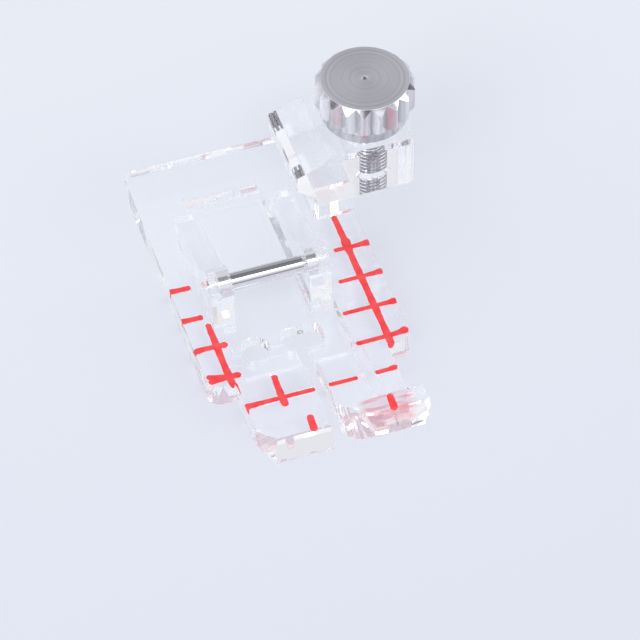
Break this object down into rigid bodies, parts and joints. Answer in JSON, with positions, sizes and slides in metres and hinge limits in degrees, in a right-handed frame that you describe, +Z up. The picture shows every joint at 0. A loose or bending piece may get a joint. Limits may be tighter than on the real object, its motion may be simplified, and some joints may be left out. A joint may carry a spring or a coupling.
{
  "type": "sewing machine presser foot",
  "caption": "Clear clip-on quilting foot with red seam marks, a needle window, a cross pin between two posts, and a knurled thumb screw that clamps a seam guide.",
  "frame": {"origin": "on the sole's underside, straight below the middle of the cross pin", "axes": "+X along the cross pin towards the thumb screw, +Y towards the rear of the machine, +Z up"},
  "size_m": [0.0349, 0.048, 0.0201],
  "materials": {
    "clear_plastic": "clear, polished",
    "pin_steel": "bright plated",
    "plated_screw": "bright plated sides, turned top",
    "red_paint": "paint filled into engraved marks"
  },
  "bodies": {
    "foot": {"foot_body": "clear_plastic", "snap_pin": "pin_steel", "red_marks": "red_paint"},
    "thumb_screw": {"thumb_screw": "plated_screw"}
  },
  "joints": [
    {"name": "thumb_screw_turn", "type": "hinge", "parent": "foot", "child": "thumb_screw", "pos_m": [0.018, 0.016, 0.014], "axis": [0, 0, 1], "range_deg": [0, 900]}
  ]
}
